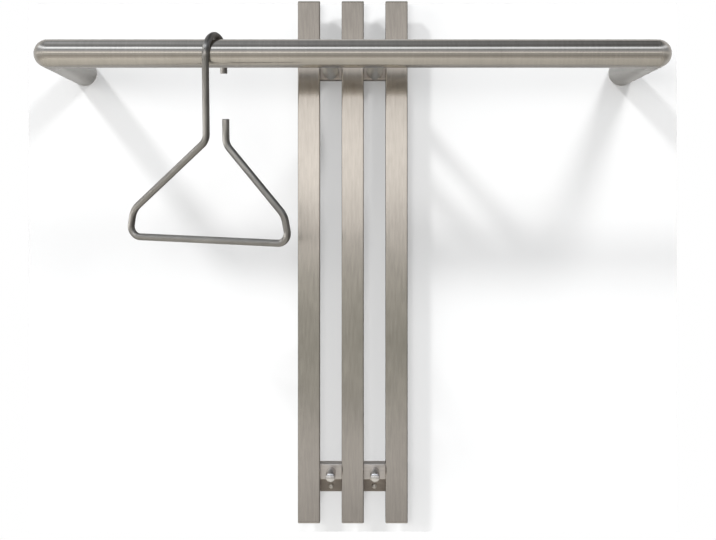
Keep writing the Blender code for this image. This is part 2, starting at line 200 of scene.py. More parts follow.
# Merges the points of each pole and shades the mesh smooth up to its sharp edges
def closePoles(mesh):
    work = bmesh.new()
    work.from_mesh(mesh)
    bmesh.ops.remove_doubles(work, verts=work.verts, dist=fine["mergeGap"])
    work.to_mesh(mesh)
    work.free()
    mesh.shade_smooth()
    mesh.set_sharp_from_angle(angle=fine["sharpAngle"])


def pieceName(node):
    first, *others = node.split("_")
    return first + "".join(word.title() for word in others)


def addPiece(node, rings, loop=False, grain="around", body="rack"):
    mesh = ringMesh(pieceName(node), rings, loop, grain)
    closePoles(mesh)
    piece = bpy.data.objects.new(pieceName(node), mesh)
    bpy.context.scene.collection.objects.link(piece)
    mesh.materials.append(steels[slotOf[node]])
    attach(piece, body)
    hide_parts(node)
    return piece


# Cuts turned holes out of a piece and keeps the cut mesh
def drill(piece, holes):
    cutters = []
    for rings in holes:
        mesh = ringMesh("drill", rings, False, "around")
        closePoles(mesh)
        cutter = bpy.data.objects.new("drill", mesh)
        bpy.context.scene.collection.objects.link(cutter)
        modifier = piece.modifiers.new("hole", "BOOLEAN")
        modifier.object = cutter
        cutters.append(cutter)
    graph = bpy.context.evaluated_depsgraph_get()
    mesh = bpy.data.meshes.new_from_object(piece.evaluated_get(graph))
    piece.modifiers.clear()
    piece.data = mesh
    mesh.set_sharp_from_angle(angle=fine["sharpAngle"])
    for cutter in cutters:
        bpy.data.objects.remove(cutter)


# Steel finishes. Scratches lie along v of the map "grain", so the sheen spreads along u, and
# "grain" is how far they change the tone. A zone has its own roughness, and its "shade" is a
# painted shade or painted light in the colour. It is taken on from "none" to "full": by the
# distance along an axis, or by how far a face looks towards a side.
looks = {
    "rail_steel": {
        "colour": (0.60, 0.56, 0.505), "roughness": 0.15,
        "spread": 0.40, "scratch": 0.25, "grain": 0.12,
        "zones": [{
            "axis": "X", "none": 0.418, "full": 0.434,
            "roughness": 0.28, "shade": (1, 1, 1),
        }, {
            # the returns, painted lighter: painted light in place of the bright wall they mirror
            "axis": "Y", "none": 0.219, "full": 0.205,
            "roughness": 0.34, "shade": (1.30, 1.35, 1.42),
        }],
    },
    "bar_steel": {
        "colour": (0.61, 0.565, 0.51), "roughness": 0.17,
        "spread": 0.75, "scratch": 0.30, "grain": 0.17,
        "zones": [{
            # faces that look right are painted darker: painted shade
            "towards": (1, 0, 0), "none": 0.35, "full": 0.7,
            "roughness": 0.30, "shade": (0.5, 0.5, 0.5),
        }],
    },
    "bracket_steel": {
        "colour": (0.75, 0.70, 0.655), "roughness": 0.32,
        "spread": 0.40, "scratch": 0.25, "grain": 0.20,
        "zones": [{
            # the wall plates: a rougher finish, and painted darker as painted shade
            "axis": "Y", "none": 0.0032, "full": 0.0031,
            "roughness": 0.46, "shade": (0.52, 0.485, 0.45),
        }, {
            # the upper bracket, near the rail, is painted darker: painted shade under the rail
            "axis": "Z", "none": 0.3, "full": 0.1,
            "roughness": 0.24, "shade": (0.74, 0.71, 0.68),
        }],
    },
    "peg_steel": {
        "colour": (0.84, 0.81, 0.79), "roughness": 0.24,
        "spread": 0.20, "scratch": 0.10, "grain": 0.10,
        "zones": [{
            # faces that look right and up are painted darker: painted shade
            "towards": (0.8, 0, 0.6), "none": 0.35, "full": 0.75,
            "roughness": 0.24, "shade": (0.42, 0.40, 0.39),
        }],
    },
    "fastener_steel": {
        "colour": (0.74, 0.70, 0.65), "roughness": 0.38,
        "spread": 0.10, "scratch": 0.10, "grain": 0.10,
        "zones": [],
    },
    "hanger_steel": {
        "colour": (0.38, 0.362, 0.336), "roughness": 0.35,
        "spread": 0.95, "scratch": 0.25, "grain": 0.32,
        "zones": [{
            # faces that look right are painted darker: painted shade
            "towards": (0.97, 0, 0.25), "none": 0.08, "full": 0.42,
            "roughness": 0.35, "shade": (0.44, 0.44, 0.44),
        }],
    },
}
# the brushing's noise, as waves in a metre, and how it becomes tone, roughness and depth
brush = {
    "across": 300, "along": 26, "scratchDetail": 6, "cloud": 9, "cloudDetail": 3,
    "fineness": 0.62, "noiseRange": (0.3, 0.7), "lightShare": 0.8, "roughSwing": 0.15,
    "depth": 0.00002,
}


# Makers of shader nodes: numbers and colours are set on a socket, and the rest is linked to it
def newMaterial(name):
    material = bpy.data.materials.new(name)
    material.use_nodes = True
    return material, material.node_tree.nodes, material.node_tree.links


def mathNode(nodes, links, operation, *values):
    node = nodes.new("ShaderNodeMath")
    node.operation = operation
    for socket, value in zip(node.inputs, values):
        if isinstance(value, (int, float)):
            socket.default_value = value
        else:
            links.new(value, socket)
    return node.outputs[0]


def vectorNode(nodes, links, operation, *values, output="Vector"):
    node = nodes.new("ShaderNodeVectorMath")
    node.operation = operation
    for socket, value in zip(node.inputs, values):
        if isinstance(value, tuple):
            socket.default_value = value
        else:
            links.new(value, socket)
    return node.outputs[output]


def axesOf(nodes, links, vector):
    node = nodes.new("ShaderNodeSeparateXYZ")
    links.new(vector, node.inputs[0])
    return node.outputs


def noiseNode(nodes, links, vector, scale, detail):
    node = nodes.new("ShaderNodeTexNoise")
    node.inputs["Scale"].default_value = scale
    node.inputs["Detail"].default_value = detail
    node.inputs["Roughness"].default_value = brush["fineness"]
    links.new(vector, node.inputs["Vector"])
    return node.outputs["Fac"]


def rangeNode(nodes, links, value, fromRange, toRange=(0, 1), way="LINEAR"):
    node = nodes.new("ShaderNodeMapRange")
    node.interpolation_type = way
    node.inputs["From Min"].default_value, node.inputs["From Max"].default_value = fromRange
    node.inputs["To Min"].default_value, node.inputs["To Max"].default_value = toRange
    links.new(value, node.inputs["Value"])
    return node.outputs["Result"]


def mixNode(nodes, links, share, first, second):
    node = nodes.new("ShaderNodeMixShader")
    for socket, value in zip(node.inputs, (share, first, second)):
        links.new(value, socket)
    return node.outputs[0]


# Long scratches over a slow change of tone set the colour, the roughness and the bump
def brushedSteel(name, look):
    material, nodes, links = newMaterial(name)
    shader = nodes["Principled BSDF"]
    shader.inputs["Metallic"].default_value = 1
    shader.inputs["Anisotropic"].default_value = look["spread"]

    grainMap = nodes.new("ShaderNodeUVMap")
    grainMap.uv_map = "grain"
    stretch = nodes.new("ShaderNodeMapping")
    stretch.inputs["Scale"].default_value = (brush["across"], brush["along"], 1)
    links.new(grainMap.outputs["UV"], stretch.inputs["Vector"])
    scratches = noiseNode(nodes, links, stretch.outputs["Vector"], 1, brush["scratchDetail"])
    place = nodes.new("ShaderNodeTexCoord")
    cloud = noiseNode(nodes, links, place.outputs["Object"], brush["cloud"], brush["cloudDetail"])
    both = mathNode(nodes, links, "MULTIPLY", mathNode(nodes, links, "ADD", scratches, cloud), 0.5)

    toneRange = (1 - look["grain"], 1 + brush["lightShare"] * look["grain"])
    roughRange = [(1 + way * brush["roughSwing"]) * look["roughness"] for way in (-1, 1)]
    tone = rangeNode(nodes, links, both, brush["noiseRange"], toneRange)
    rough = rangeNode(nodes, links, both, brush["noiseRange"], roughRange)
    colour = vectorNode(nodes, links, "MULTIPLY", look["colour"], tone)
    # each zone paints its shade into the colour: painted shade below 1, painted light above 1
    for zone in look["zones"]:
        if "axis" in zone:
            axes = axesOf(nodes, links, place.outputs["Object"])
            measure = mathNode(nodes, links, "ABSOLUTE", axes[zone["axis"]])
        else:
            looking = (place.outputs["Normal"], zone["towards"])
            measure = vectorNode(nodes, links, "DOT_PRODUCT", *looking, output="Value")
        share = rangeNode(nodes, links, measure, (zone["none"], zone["full"]))
        change = tuple(part - 1 for part in zone["shade"])
        shade = vectorNode(nodes, links, "MULTIPLY_ADD", change, share, (1, 1, 1))
        colour = vectorNode(nodes, links, "MULTIPLY", colour, shade)
        zoneRough = mathNode(nodes, links, "MULTIPLY", share, zone["roughness"])
        rough = mathNode(nodes, links, "MAXIMUM", rough, zoneRough)
    links.new(colour, shader.inputs["Base Color"])
    links.new(rough, shader.inputs["Roughness"])

    bump = nodes.new("ShaderNodeBump")
    bump.inputs["Strength"].default_value = look["scratch"]
    bump.inputs["Distance"].default_value = brush["depth"]
    links.new(scratches, bump.inputs["Height"])
    links.new(bump.outputs["Normal"], shader.inputs["Normal"])
    tangent = nodes.new("ShaderNodeTangent")
    tangent.direction_type = "UV_MAP"
    tangent.uv_map = "grain"
    links.new(tangent.outputs["Tangent"], shader.inputs["Tangent"])
    return material


steels = {slot: brushedSteel(slot.replace("_", " "), look) for slot, look in looks.items()}
print("steels:", len(steels))


# Rail and its returns: tubes that meet in a ball of their own radius, halved by the mitre
rail = {
    "wall": 0.002, "columns": 160, "ballRows": 13, "lead": 1.5,
    "seam": 0.00003, "edge": 0.0003, "hold": 0.0004,
}
rail["radius"] = sizeOf("rail_tube")[2] / 2
rail["reach"] = -middleOf("rail_tube")[1]
rail["corner"] = abs(middleOf("left_wall_spigot")[0])


# a circle's distances in and up, for the tubes
def circleAt(radius):
    angle = anglesRound(rail["columns"])
    return radius * np.cos(angle), radius * np.sin(angle)


# One end of a tube, as distances from the ball's centre: on along the tube, in towards the inside
# of the corner, and up. Outside columns turn about the upright axis by 0 to 45 degrees, at the
# radius they have in the tube. Inside columns stay straight, from on = -lead * in to the mitre,
# where on = -in.
def cornerRows(radius):
    inward, up = circleAt(radius)
    inside, outside = np.maximum(inward, 0), np.maximum(-inward, 0)
    turn = np.linspace(0, math.pi / 4, rail["ballRows"])[:, None]
    on = outside * np.sin(turn) - inside * (rail["lead"] - turn / (math.pi / 2)) - rail["seam"]
    across = inside - outside * np.cos(turn)
    rows = np.stack([on, across, np.broadcast_to(up, on.shape)], axis=-1)
    return np.concatenate([rows[:1] - [rail["hold"], 0, 0], rows])


# the rail's ends run on along x, the returns' along y
def railEnd(rows, sign):
    on, across, up = np.moveaxis(rows, -1, 0)
    return np.stack([sign * (rail["corner"] + on), across - rail["reach"], up], axis=-1)


def returnEnd(rows, sign):
    on, across, up = np.moveaxis(rows, -1, 0)
    return np.stack([sign * (rail["corner"] - across), -rail["reach"] - on, up], axis=-1)


# Outside from left to right, then inside and back
def makeRail():
    outer, inner = cornerRows(rail["radius"]), cornerRows(rail["radius"] - rail["wall"])
    rows = [
        railEnd(outer[::-1], -1), railEnd(outer, 1),
        railEnd(inner[::-1], 1), railEnd(inner, -1),
    ]
    addPiece("rail_tube", np.concatenate(rows), loop=True)


# Outside from the wall to the corner, then inside and back, with a hole for the grub screw
def makeReturn(side, sign):
    edge, outerRadius = rail["edge"], rail["radius"]
    innerRadius, edgeEnd = outerRadius - rail["wall"], fine["edgeRun"] * edge

    # circles at (radius, distance from the wall)
    def straight(profile):
        rows = []
        for radius, out in profile:
            across, up = circleAt(radius)
            rows.append(np.column_stack([np.full_like(up, out - rail["reach"]), across, up]))
        return returnEnd(np.array(rows), sign)

    rows = [
        straight([(outerRadius - edge, 0), (outerRadius, edge), (outerRadius, edgeEnd)]),
        returnEnd(cornerRows(outerRadius), sign),
        returnEnd(cornerRows(innerRadius)[::-1], sign),
        straight([(innerRadius, edgeEnd), (innerRadius, edge), (innerRadius + edge, 0)]),
    ]
    piece = addPiece(f"{side}_return_tube", np.concatenate(rows), loop=True)
    grubX, grubY, _ = middleOf(f"{side}_grub_screw")
    radius = sizeOf(f"{side}_grub_screw")[0] / 2 + edge
    drill(piece, [placed(roundCutter(radius, 0, 2 * outerRadius), (grubX, grubY, 0), upright)])


makeRail()
for side, sign in sides.items():
    makeReturn(side, sign)
print("rail and returns made")


# Upright bars and cross bars: rounded rectangular tube with a cap in each end
tube = {"wall": 0.0015, "corner": 0.0022, "edge": 0.00018}
crossTube = {"wall": 0.0015, "corner": 0.0018, "edge": 0.00018}
cap = {
    "thickness": 0.002, "plug": 0.006, "gap": 0.0003, "edgeSteps": 4,
    "edge": 0.0014, "rimEdge": 0.00035, "plugEdge": 0.0007,
}


# Outside from end to end with a small edge at each, then straight back inside
def makeTube(node, width, depth, length, shape, turn):
    edge, wall, half = shape["edge"], shape["wall"], length / 2
    edgeEnd = fine["edgeRun"] * edge
    outside = [
        (edge, -half), (0, edge - half), (0, edgeEnd - half),
        (0, half - edgeEnd), (0, half - edge), (edge, half),
    ]
    inside = [(wall, half), (wall, -half)]
    rings = stackedRectangles(width, depth, shape["corner"], outside + inside)
    return addPiece(node, placed(rings, middleOf(node), turn), loop=True, grain="along")


# A flat plate with a rounded edge, and a plug below it that fits into the tube
def makeCap(node, width, depth, shape, face, turn):
    inset = shape["wall"] + cap["gap"]
    low = -cap["thickness"]
    end = low - cap["plug"]
    corners = [(width, 0), (0, 0), (0, low), (inset, low), (inset, end), (width, end)]
    radii = [0, cap["edge"], cap["rimEdge"], 0, cap["plugEdge"], 0]
    outline, _ = filletPath(corners, radii, cap["edgeSteps"])
    outline[0, 0] = outline[-1, 0] = np.inf
    rings = stackedRectangles(width, depth, shape["corner"], outline)
    addPiece(node, placed(rings, face, turn), grain="along")


for bar in ("left_bar", "middle_bar", "right_bar"):
    width, depth, length = sizeOf(bar)
    makeTube(bar, width, depth, length, tube, upright)
    for end, boxCorner, turn in (("top", 1, upright), ("bottom", 0, downward)):
        node = f"{bar}_{end}_cap"
        face = middleOf(node)
        face[2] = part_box(node)[boxCorner][2]
        makeCap(node, width, depth, tube, face, turn)
print("bars made")

# Wall brackets: cross bar, plate and screws. A bolt's head lies inside the cross bar.
plate = {"corner": 0.0015, "edge": 0.0004, "hole": 0.0025}
screw = {
    "head": 0.0042, "rise": 0.0028, "crown": 0.92, "shank": 0.0022,
    "socket": 0.003, "socketDepth": 0.0014, "gap": 0.0003,
}
bolts = {
    "upper": {"name": "strut_bolt", "shank": 0.004, "head": 0.0065, "headHeight": 0.008},
    "lower": {"name": "peg_bolt", "shank": 0.003, "head": 0.005, "headHeight": 0.006},
}
boltGap = 0.0003
headShares = (0, 0.02, 0.15, 0.35, 0.55, 0.72, 0.85, 0.93, 0.98, 1)  # from the socket to the rim


# A hexagon's radius at each angle: half the flats over the cosine of the angle from the
# nearest flat
def hexagonRadius(acrossFlats, angle):
    turnFromFlat = (angle + math.pi / 6) % (math.pi / 3) - math.pi / 6
    return acrossFlats / 2 / np.cos(turnFromFlat)


# A round head with a hexagon socket: the top runs from the hexagon out to the rim along an
# ellipse. outline carries on from the rim to the shank's end.
def socketHead(top, rise, rim, socketSize, socketDepth, outline):
    angle = anglesRound(fine["smallColumns"])
    hexagon = hexagonRadius(socketSize, angle)

    def ring(radius, height):
        radius = np.broadcast_to(radius, angle.shape)
        height = np.broadcast_to(height, angle.shape)
        return np.column_stack([radius * np.cos(angle), radius * np.sin(angle), height])

    def topAt(radius):
        return top - rise * (1 - np.sqrt(np.clip(1 - (radius / rim) ** 2, 0, 1)))

    rows = [ring(0, top - socketDepth), ring(hexagon, top - socketDepth)]
    for share in headShares:
        radius = hexagon + (rim - hexagon) * share
        rows.append(ring(radius, topAt(radius)))
    rows += [ring(radius, height) for radius, height in outline]
    return np.array(rows)


# A tube along the rail with two stepped bores, wide from behind and narrow through the front
def makeCrossBar(level):
    node, bolt = f"{level}_cross_bar", bolts[level]
    length, depth, height = sizeOf(node)
    bar = makeTube(node, depth, height, length, crossTube, alongRail)
    _, front = distancesOut(node)
    step = front - 2 * crossTube["wall"]
    shank, head = bolt["shank"] + boltGap, bolt["head"] + boltGap
    bore = turned([
        (0, 2 * front), (shank, 2 * front), (shank, step), (head, step), (head, -front), (0, -front),
    ], fine["smallColumns"])
    bores = []
    for side, sign in sides.items():
        capNode = f"{node}_{side}_cap"
        face = middleOf(capNode)
        face[0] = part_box(capNode)[0 if sign < 0 else 1][0]
        makeCap(capNode, depth, height, crossTube, face, alongRail if sign > 0 else againstRail)
        bores.append(placed(bore, wallPointOf(f"{side}_{bolt['name']}"), outOfWall))
    drill(bar, bores)


# A rounded rectangle with a small edge on both faces, and two screws through it
def makePlate(level):
    node = f"{level}_wall_plate"
    width, thick, tall = sizeOf(node)
    corners = [(width, thick / 2), (0, thick / 2), (0, -thick / 2), (width, -thick / 2)]
    outline, _ = filletPath(corners, [0, plate["edge"], plate["edge"], 0])
    outline[0, 0] = outline[-1, 0] = np.inf
    rings = stackedRectangles(width, tall, plate["corner"], outline)
    back = addPiece(node, placed(rings, middleOf(node), outOfWall), grain="along")

    gap, shank = screw["gap"], screw["shank"]
    under = thick + gap
    outline = [(screw["head"], under), (shank, under), (shank, gap), (0, gap)]
    head = socketHead(
        under + screw["rise"], screw["rise"] * screw["crown"], screw["head"],
        screw["socket"], screw["socketDepth"], outline)
    hole = roundCutter(plate["hole"], -thick, 2 * thick)
    holes = []
    for side in sides:
        screwNode = f"{level}_{side}_wall_screw"
        at = wallPointOf(screwNode)
        addPiece(screwNode, placed(head, at, outOfWall))
        holes.append(placed(hole, at, outOfWall))
    drill(back, holes)


for level in bolts:
    makeCrossBar(level)
    makePlate(level)
print("brackets made")

# Struts, pegs and their bolts. Distances are out of the wall.
strut = {"grip": 0.0203, "edge": 0.0004, "seat": 0.0003, "columns": 96, "saddleRows": 8}
peg = {"grip": 0.0143, "dome": 0.004, "edge": 0.0010, "columns": 96, "domeRows": 16}


# From the bottom of a blind hole for the bolt, out round the foot and along the side to the end
def footOutline(level, low, grip, radius, edge, end):
    hole = bolts[level]["shank"] + boltGap
    corners = [(0, low + grip), (hole, low + grip), (hole, low), (radius, low), (radius, end)]
    outline, _ = filletPath(corners, [0, 0, 0, edge, 0])
    return outline


# Foot and side, and a saddle that lies on the rail: out = reach - sqrt(seat^2 - height^2), where
# seat is the rail's radius and a small gap
def makeStrut(side):
    node = f"{side}_rail_strut"
    radius = sizeOf(node)[0] / 2
    low, _ = distancesOut(node)
    end = rail["reach"] - rail["radius"]
    outline = footOutline("upper", low, strut["grip"], radius, strut["edge"], end)
    rings = turned(outline[:-1], strut["columns"])
    spans = np.linspace(radius, 0, strut["saddleRows"])
    saddle = turned(np.column_stack([spans, spans * 0]), strut["columns"])
    seat = rail["radius"] + strut["seat"]
    saddle[..., 2] = rail["reach"] - np.sqrt(seat ** 2 - saddle[..., 1] ** 2)
    addPiece(node, placed(np.concatenate([rings, saddle]), wallPointOf(node), outOfWall))


# Foot and side, and a dome that is a quarter ellipse: radius * cos across and dome * sin up
def makePeg(side):
    node = f"{side}_coat_peg"
    radius = sizeOf(node)[0] / 2
    low, top = distancesOut(node)
    outline = footOutline("lower", low, peg["grip"], radius, peg["edge"], top - peg["dome"])
    turn = np.linspace(0, math.pi / 2, peg["domeRows"] + 1)[1:]
    dome = np.column_stack([radius * np.cos(turn), top - peg["dome"] * (1 - np.sin(turn))])
    dome[-1, 0] = 0
    rings = turned(np.concatenate([outline, dome]), peg["columns"])
    addPiece(node, placed(rings, wallPointOf(node), outOfWall))


# A round head with a round shank on it
def makeBolt(side, bolt):
    node = f"{side}_{bolt['name']}"
    low, top = distancesOut(node)
    shank, head, neck = bolt["shank"], bolt["head"], low + bolt["headHeight"]
    outline = [(0, top), (shank, top), (shank, neck), (head, neck), (head, low), (0, low)]
    rings = turned(outline, fine["smallColumns"])
    addPiece(node, placed(rings, wallPointOf(node), outOfWall))


for side in sides:
    makeStrut(side)
    makePeg(side)
    for bolt in bolts.values():
        makeBolt(side, bolt)
print("struts and pegs made")

# Wall ends of the returns: spigot, its screw, and the grub screw that locks the return
spigot = {"groove": 0.003, "grooveHalf": 0.0031, "hole": 0.0028, "sink": 0.0056, "columns": 96}
spigotScrew = {"shank": 0.0025, "head": 0.005}
grub = {"socket": 0.0025, "socketDepth": 0.002, "edge": 0.0003}


# A round plug with a groove for the grub screw and a countersunk hole
def makeSpigot(side):
    node = f"{side}_wall_spigot"
    radius, length = sizeOf(node)[0] / 2, sizeOf(node)[1]
    setback = -middleOf(f"{side}_grub_screw")[1]
    low, high = setback - spigot["grooveHalf"], setback + spigot["grooveHalf"]
    groove, hole, sink = radius - spigot["groove"], spigot["hole"], spigot["sink"]
    outline = [
        (radius, length), (radius, high), (groove, high), (groove, low), (radius, low), (radius, 0),
        (hole, 0), (hole, length - (sink - hole)), (sink, length),
    ]
    rings = turned(outline, spigot["columns"])
    addPiece(node, placed(rings, wallPointOf(node), outOfWall), loop=True)


# A countersunk head, whose cone is at 45 degrees
def makeSpigotScrew(side):
    node = f"{side}_spigot_screw"
    low, top = distancesOut(node)
    shank, head = spigotScrew["shank"], spigotScrew["head"]
    neck = top - (head - shank)
    outline = [(0, top), (head, top), (shank, neck), (shank, low), (0, low)]
    rings = turned(outline, fine["smallColumns"])
    addPiece(node, placed(rings, wallPointOf(f"{side}_wall_spigot"), outOfWall))


# An upright pin with a socket in its flat top
def makeGrubScrew(side):
    node = f"{side}_grub_screw"
    low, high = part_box(node)
    radius = (high.x - low.x) / 2
    top = high.z - grub["edge"]
    outline = [(radius, top - grub["edge"]), (radius, low.z), (0, low.z)]
    rim = radius - grub["edge"]
    head = socketHead(top, 0, rim, grub["socket"], grub["socketDepth"], outline)
    x, y, _ = middleOf(node)
    addPiece(node, placed(head, (x, y, 0), upright))


for side in sides:
    makeSpigot(side)
    makeSpigotScrew(side)
    makeGrubScrew(side)
print("wall ends made")

# Hanger: one rod bent round these corners, about the centre of the hook's bend
hanger = {
    "rod": 0.005, "hookClearance": 0.0035, "tipDrop": 0.0247, "neckDrop": 0.1184,
    "freeGap": 0.0306, "freeEndDrop": 0.0881, "freeBendDrop": 0.1231,
    "neckBend": 0.020, "shoulderBend": 0.030, "baseBend": 0.0145,
    "shoulderHalf": 0.1185, "shoulderDrop": 0.2196, "baseHalf": 0.1257, "baseDrop": 0.2585,
    "position": -0.195, "yaw": math.radians(-20.5), "lean": math.radians(6), "seat": 0.0003,
    "columns": 64, "arcSteps": 36, "hold": 0.0008, "endEdge": 0.0007, "endSteps": 4,
    "planeGap": 1e-6,
}


# the matrix that turns about x or z
def rotation(axis, angle):
    c, s = math.cos(angle), math.sin(angle)
    if axis == "x":
        return np.array([[1, 0, 0], [0, c, -s], [0, s, c]])
    return np.array([[c, -s, 0], [s, c, 0], [0, 0, 1]])


# The rod is a circle carried square to its path. The hook bends in the plane of y and z and the
# body in that of x and z, so the circle's first radius is x on the hook and lies in the body's
# plane below it. Each end closes with a quarter circle: edge * (1 - sin) in from the end, where
# the rod is thinner by edge * (1 - cos).
def makeHanger():
    rod, edge = hanger["rod"], hanger["endEdge"]
    hook = rail["radius"] + hanger["hookClearance"] + rod
    neck, shoulder, base = -hanger["neckDrop"], -hanger["shoulderDrop"], -hanger["baseDrop"]
    corners = [
        ((0, hook, -hanger["tipDrop"]), 0),
        ((0, hook, hook), hook),
        ((0, -hook, hook), hook),
        ((0, -hook, neck), hanger["neckBend"]),
        ((-hanger["shoulderHalf"], -hook, shoulder), hanger["shoulderBend"]),
        ((-hanger["baseHalf"], -hook, base), hanger["baseBend"]),
        ((hanger["baseHalf"], -hook, base), hanger["baseBend"]),
        ((hanger["shoulderHalf"], -hook, shoulder), hanger["shoulderBend"]),
        ((hanger["freeGap"], -hook, -hanger["freeBendDrop"]), hanger["neckBend"]),
        ((hanger["freeGap"], -hook, -hanger["freeEndDrop"]), 0),
    ]
    places, bends = zip(*corners)
    path, tangent = filletPath(places, bends, hanger["arcSteps"], hanger["hold"])

    turn = np.linspace(math.pi / 2, 0, hanger["endSteps"] + 1)
    inset = np.concatenate([[0], edge * (1 - np.sin(turn))])[:, None]
    endRadii = np.concatenate([[0], rod - edge * (1 - np.cos(turn))])
    start, finish = path[0] + inset * tangent[0], path[-1] - inset[::-1] * tangent[-1]
    radii = np.concatenate([endRadii, np.full(len(path) - 2, rod), endRadii[::-1]])
    path = np.concatenate([start, path[1:-1], finish])
    repeats = np.ones(len(tangent), int)
    repeats[0] = repeats[-1] = len(inset)
    tangent = np.repeat(tangent, repeats, axis=0)

    inHookPlane = np.abs(path[:, 0]) < hanger["planeGap"]
    onHook = inHookPlane & (path[:, 2] > neck + hanger["neckBend"])
    across = np.where(onHook[:, None], [1, 0, 0], np.cross([0, -1, 0], tangent))
    beside = np.cross(tangent, across)
    angle = anglesRound(hanger["columns"])[:, None]
    circle = np.cos(angle) * across[:, None] + np.sin(angle) * beside[:, None]
    rings = path[:, None] + radii[:, None, None] * circle
    turnAll = rotation("x", hanger["lean"]) @ rotation("z", hanger["yaw"])
    rest = hanger["hookClearance"] - hanger["seat"]
    origin = (hanger["position"], -rail["reach"], -rest)
    addPiece("coat_hanger", placed(rings, origin, turnAll.T), grain="along", body="hanger")


makeHanger()
print("hanger made")

# Stage: a white display board behind the rack, see-through from behind, and a pale round floor.
# Each lift is the amount at the board's bottom and at its top.
stage = {
    "boardHalf": 0.52, "boardTop": 0.112, "boardBottom": -0.735, "boardGap": 0.0006,
    "touching": 0.004, "white": (0.40, 0.40, 0.40), "lift": (0.37, 0.165),
    "mirrorShare": 0.1, "mirrorTone": 0.6,
    "floor": -1.55, "floorRadius": 2.4, "floorFade": 0.6, "floorColumns": 96,
    "floorTone": (0.36, 0.348, 0.318), "floorLift": (0.55, 0.55),
}


# one flat face through the points
def stageSheet(name, points, paint):
    mesh = bpy.data.meshes.new(name)
    mesh.from_pydata(points, [], [tuple(range(len(points)))])
    mesh.materials.append(paint)
    sheet = bpy.data.objects.new(name, mesh)
    bpy.context.scene.collection.objects.link(sheet)


# 1 for what the camera sees itself, and a share of that for what metal and glass show it
def seenShare(nodes, links, ray, mirrorShare):
    glossy, through = ray.outputs["Is Glossy Ray"], ray.outputs["Is Transmission Ray"]
    mirrored = mathNode(nodes, links, "MAXIMUM", glossy, through)
    mirrored = mathNode(nodes, links, "MULTIPLY", mirrored, mirrorShare)
    return mathNode(nodes, links, "MAXIMUM", ray.outputs["Is Camera Ray"], mirrored)


# A matt colour that is lifted towards white where it is seen, by an amount that changes evenly
# with the height. mirrorTone darkens the colour where metal mirrors it.
def litPaint(name, colour, lift, mirrorTone=1):
    material, nodes, links = newMaterial(name)
    nodes.remove(nodes["Principled BSDF"])
    paint = nodes.new("ShaderNodeBsdfDiffuse")
    ray = nodes.new("ShaderNodeLightPath")
    tone = rangeNode(nodes, links, ray.outputs["Is Glossy Ray"], (0, 1), (1, mirrorTone))
    links.new(vectorNode(nodes, links, "MULTIPLY", colour, tone), paint.inputs["Color"])
    seen = seenShare(nodes, links, ray, stage["mirrorShare"])
    place = nodes.new("ShaderNodeTexCoord")
    height = axesOf(nodes, links, place.outputs["Object"])["Z"]
    amount = rangeNode(nodes, links, height, (stage["boardBottom"], stage["boardTop"]), lift)
    glow = nodes.new("ShaderNodeEmission")
    links.new(mathNode(nodes, links, "MULTIPLY", seen, amount), glow.inputs["Strength"])
    both = nodes.new("ShaderNodeAddShader")
    links.new(paint.outputs[0], both.inputs[0])
    links.new(glow.outputs[0], both.inputs[1])
    return material, both.outputs[0], ray, place


# clear where the share is 1
def fadeOut(material, shader, share):
    nodes, links = material.node_tree.nodes, material.node_tree.links
    clear = nodes.new("ShaderNodeBsdfTransparent")
    faded = mixNode(nodes, links, share, shader, clear.outputs[0])
    links.new(faded, nodes["Material Output"].inputs["Surface"])


# clear from behind, and to light that starts within a few millimetres of it
def boardPaint():
    material, shader, ray, _ = litPaint(
        "board paint", stage["white"], stage["lift"], stage["mirrorTone"])
    nodes, links = material.node_tree.nodes, material.node_tree.links
    facing = nodes.new("ShaderNodeNewGeometry")
    near = mathNode(nodes, links, "LESS_THAN", ray.outputs["Ray Length"], stage["touching"])
    behind = facing.outputs["Backfacing"]
    fadeOut(material, shader, mathNode(nodes, links, "MAXIMUM", behind, near))
    return material


# clear towards its rim, by the distance from the middle
def floorPaint():
    material, shader, _, place = litPaint("floor paint", stage["floorTone"], stage["floorLift"])
    nodes, links = material.node_tree.nodes, material.node_tree.links
    flat = vectorNode(nodes, links, "MULTIPLY", place.outputs["Object"], (1, 1, 0))
    distance = vectorNode(nodes, links, "LENGTH", flat, output="Value")
    rim = (stage["floorRadius"] - stage["floorFade"], stage["floorRadius"])
    fadeOut(material, shader, rangeNode(nodes, links, distance, rim, way="SMOOTHSTEP"))
    return material


# an upright rectangle and a level circle
def makeStage():
    half, low, high = stage["boardHalf"], stage["boardBottom"], stage["boardTop"]
    corners = ((-half, low), (half, low), (half, high), (-half, high))
    stageSheet("board", [(x, stage["boardGap"], z) for x, z in corners], boardPaint())
    angle = anglesRound(stage["floorColumns"])
    rim = stage["floorRadius"] * np.column_stack([np.cos(angle), np.sin(angle)])
    stageSheet("ground", [(x, y, stage["floor"]) for x, y in rim.tolist()], floorPaint())


def barPieces(side):
    return [f"{side}Bar", f"{side}BarTopCap", f"{side}BarBottomCap"]


